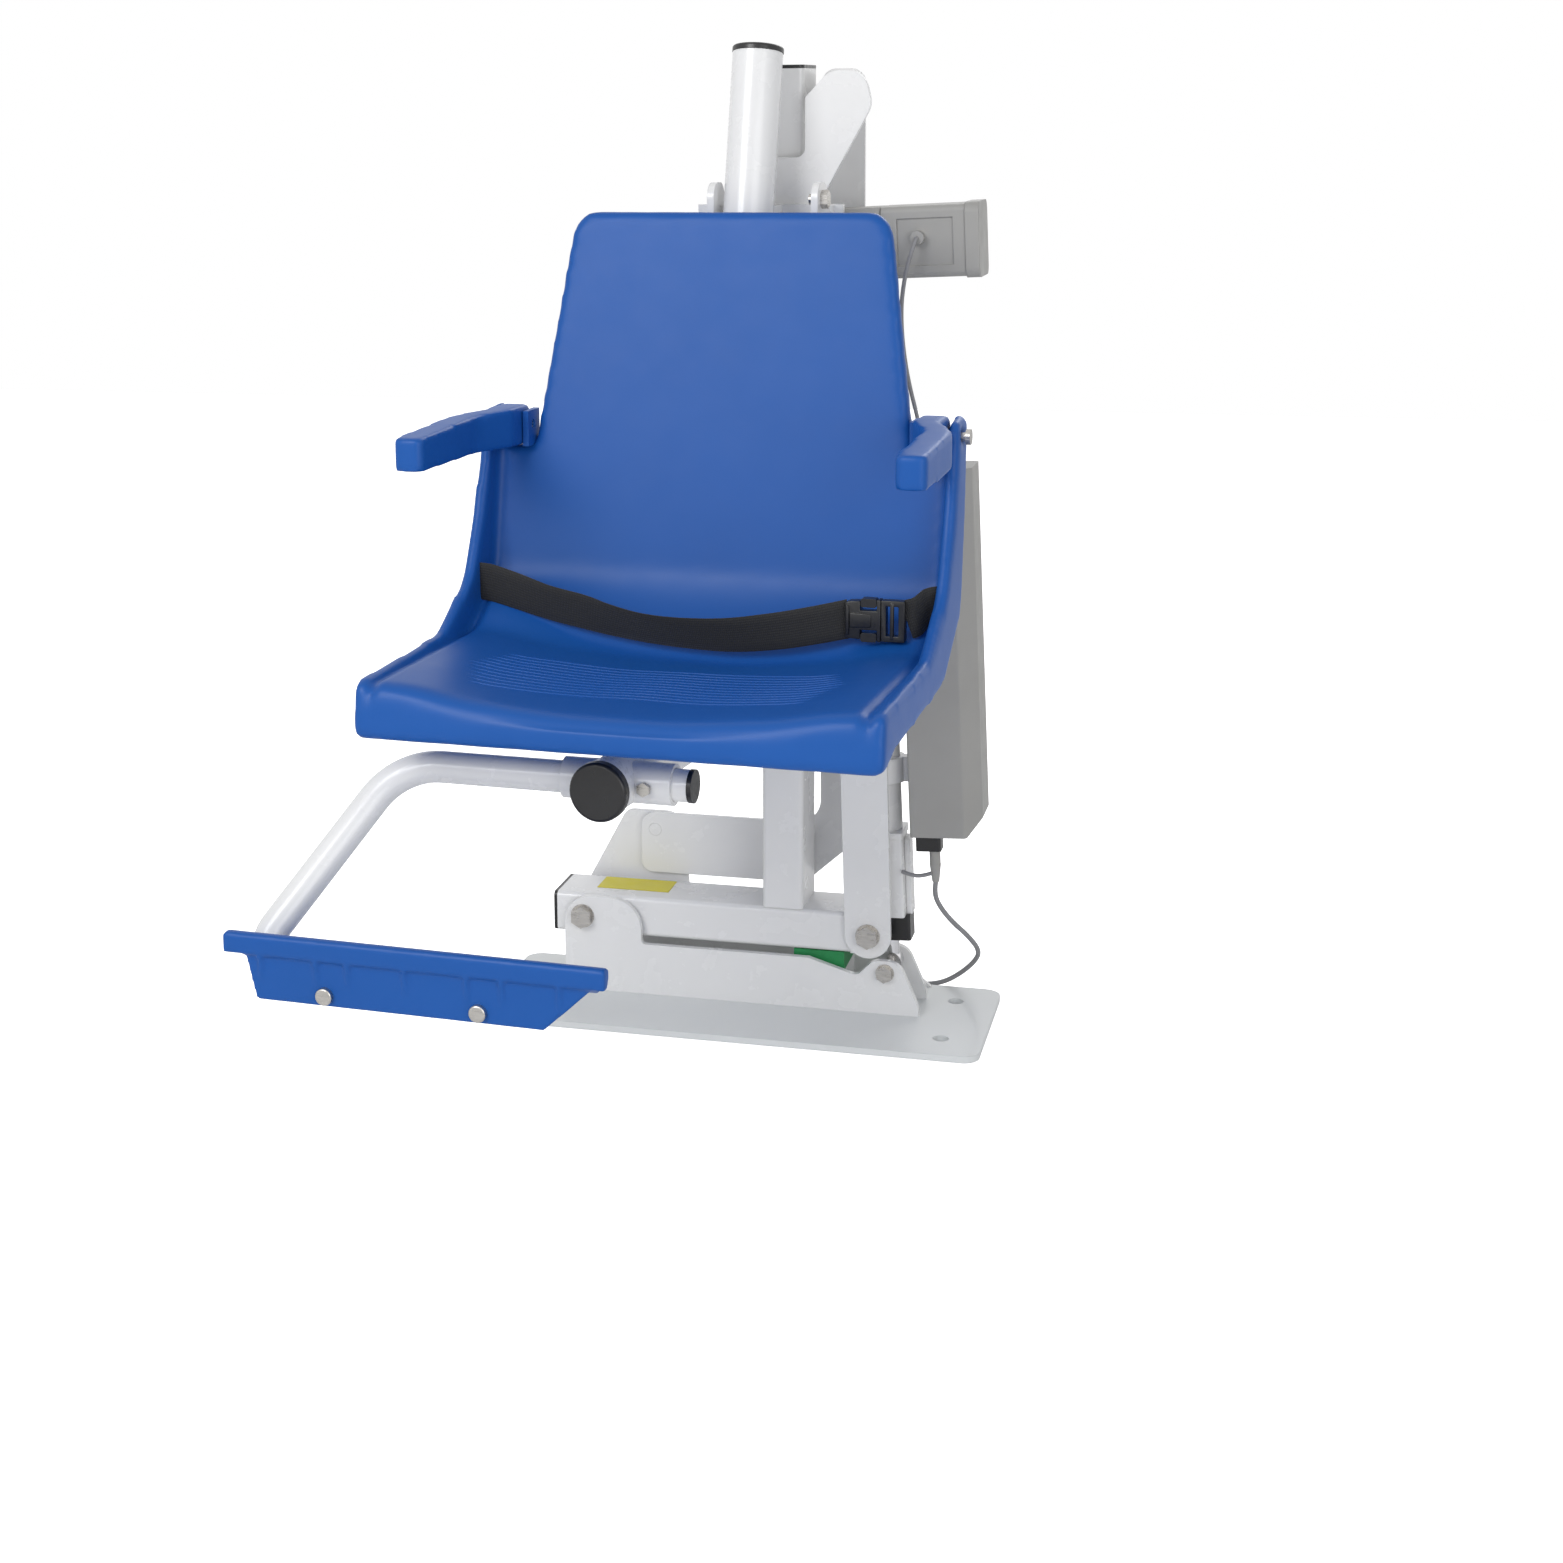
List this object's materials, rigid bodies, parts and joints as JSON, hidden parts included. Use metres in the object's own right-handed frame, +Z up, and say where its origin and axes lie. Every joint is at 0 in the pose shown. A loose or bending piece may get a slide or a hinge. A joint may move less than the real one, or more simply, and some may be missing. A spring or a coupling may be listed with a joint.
{
  "type": "pool patient lift",
  "caption": "Swinging-mast pool lift with a levelled bucket seat, lap belt, armrests, footrest and an electric actuator on a bolt-down deck plate.",
  "frame": {"origin": "centre of the deck plate's underside", "axes": "+X along the deck plate, away from the pool; -Y the side that the seat faces; +Z up"},
  "size_m": [0.6975, 0.781, 1.1586],
  "materials": {
    "white_paint": "gloss powder coat",
    "blue_plastic": "moulded satin",
    "black_plastic": "moulded satin",
    "stainless": "satin",
    "polished_rod": "polished",
    "grey_plastic": "moulded matt",
    "black_webbing": "woven",
    "black_rubber": "matt",
    "green_pad": "matt"
  },
  "bodies": {
    "base": {"deck_plate": "white_paint", "side_plate_near": "white_paint", "side_plate_far": "white_paint", "ram_foot_ear": "white_paint", "arm_rest_block": "white_paint", "arm_rest_pad": "green_pad", "mast_pivot_bolt": "stainless", "ram_foot_bolt": "stainless", "level_pivot_pin": "white_paint", "charge_lead": "black_rubber", "lead_connector": "black_plastic"},
    "mast": {"mast_arm": "white_paint", "mast_bushes": "black_plastic", "mast_caps": "black_plastic", "mast_post": "white_paint", "arm_end_lug": "white_paint"},
    "link": {"levelling_link": "white_paint"},
    "rod": {"ram_rod": "polished_rod", "ram_rod_eye": "polished_rod"},
    "carrier": {"seat_crank": "white_paint", "crank_pin": "stainless", "link_pin": "stainless", "seat_tube": "white_paint", "seat_tube_caps": "black_plastic", "seat_hanger": "white_paint", "hanger_bolt": "stainless", "seat_shell": "blue_plastic", "pan_saddles": "white_paint", "back_saddle": "black_plastic", "armrest_pins": "stainless", "armrest_brackets": "blue_plastic", "belt_left": "black_webbing", "belt_right": "black_webbing", "buckle_socket": "black_plastic", "buckle_tongue": "black_plastic", "footrest_sleeve": "white_paint", "footrest_screw": "stainless"},
    "armrest_left_arm": {"armrest_left": "blue_plastic"},
    "armrest_right_arm": {"armrest_right": "blue_plastic"},
    "footrest": {"footrest_tube": "white_paint", "footrest_caps": "black_plastic", "footrest_tray": "blue_plastic", "footrest_bolts": "stainless"},
    "prong_upper": {"buckle_prong_upper": "black_plastic"},
    "prong_lower": {"buckle_prong_lower": "black_plastic"},
    "ram": {"box_brackets": "white_paint", "charge_socket": "black_plastic", "control_box": "grey_plastic", "lead_plug": "grey_plastic", "motor_box": "grey_plastic", "motor_end_cap": "grey_plastic", "ram_cable_cover": "white_paint", "ram_collar": "white_paint", "ram_gland": "black_plastic", "ram_head": "grey_plastic", "ram_lead": "black_rubber", "ram_shoe": "white_paint", "ram_strap": "white_paint", "ram_tube": "white_paint", "strap_bolts": "stainless"}
  },
  "joints": [
    {"name": "mast_swing", "type": "hinge", "parent": "base", "child": "mast", "pos_m": [-0.2, 0.05, 0.103], "axis": [0, -1, 0], "range_deg": [0, 100]},
    {"name": "link_swing", "type": "hinge", "parent": "base", "child": "link", "pos_m": [-0.132, 0.101, 0.19], "axis": [0, -1, 0], "range_deg": [0, 100]},
    {"name": "seat_level", "type": "hinge", "parent": "mast", "child": "carrier", "pos_m": [0.05, 0.05, 1.01], "axis": [0, -1, 0], "range_deg": [-100, 0]},
    {"name": "ram_swing", "type": "hinge", "parent": "mast", "child": "ram", "pos_m": [0.156, 0.007, 0.103], "axis": [0, -1, 0], "range_deg": [-56.4, 0]},
    {"name": "ram_extend", "type": "slide", "parent": "ram", "child": "rod", "axis": [0.0436, 0, -0.999], "range_m": [0, 0.547]},
    {"name": "armrest_left_lift", "type": "hinge", "parent": "carrier", "child": "armrest_left_arm", "pos_m": [-0.24228, -0.17195, 0.739], "axis": [-0.9986, 0.0523, 0], "range_deg": [0, 95]},
    {"name": "armrest_right_lift", "type": "hinge", "parent": "carrier", "child": "armrest_right_arm", "pos_m": [0.283, -0.19948, 0.739], "axis": [-0.9986, 0.0523, 0], "range_deg": [0, 95]},
    {"name": "footrest_lift", "type": "hinge", "parent": "carrier", "child": "footrest", "pos_m": [-0.02545, -0.46753, 0.413], "axis": [-0.9986, 0.0523, 0], "range_deg": [0, 60]},
    {"name": "prong_upper_press", "type": "slide", "parent": "carrier", "child": "prong_upper", "axis": [0, 0, -1], "range_m": [0, 0.002], "stiffness_N_per_m": 1500},
    {"name": "prong_lower_press", "type": "slide", "parent": "carrier", "child": "prong_lower", "axis": [0, 0, 1], "range_m": [0, 0.002], "stiffness_N_per_m": 1500}
  ],
  "couplings": [
    {"joint": "link_swing", "follows": "mast_swing", "ratio": 1},
    {"joint": "seat_level", "follows": "mast_swing", "ratio": -1},
    {"joint": "ram_swing", "follows": "mast_swing", "ratio": -0.563},
    {"joint": "ram_extend", "follows": "mast_swing", "m_per_rad": 0.3128}
  ]
}
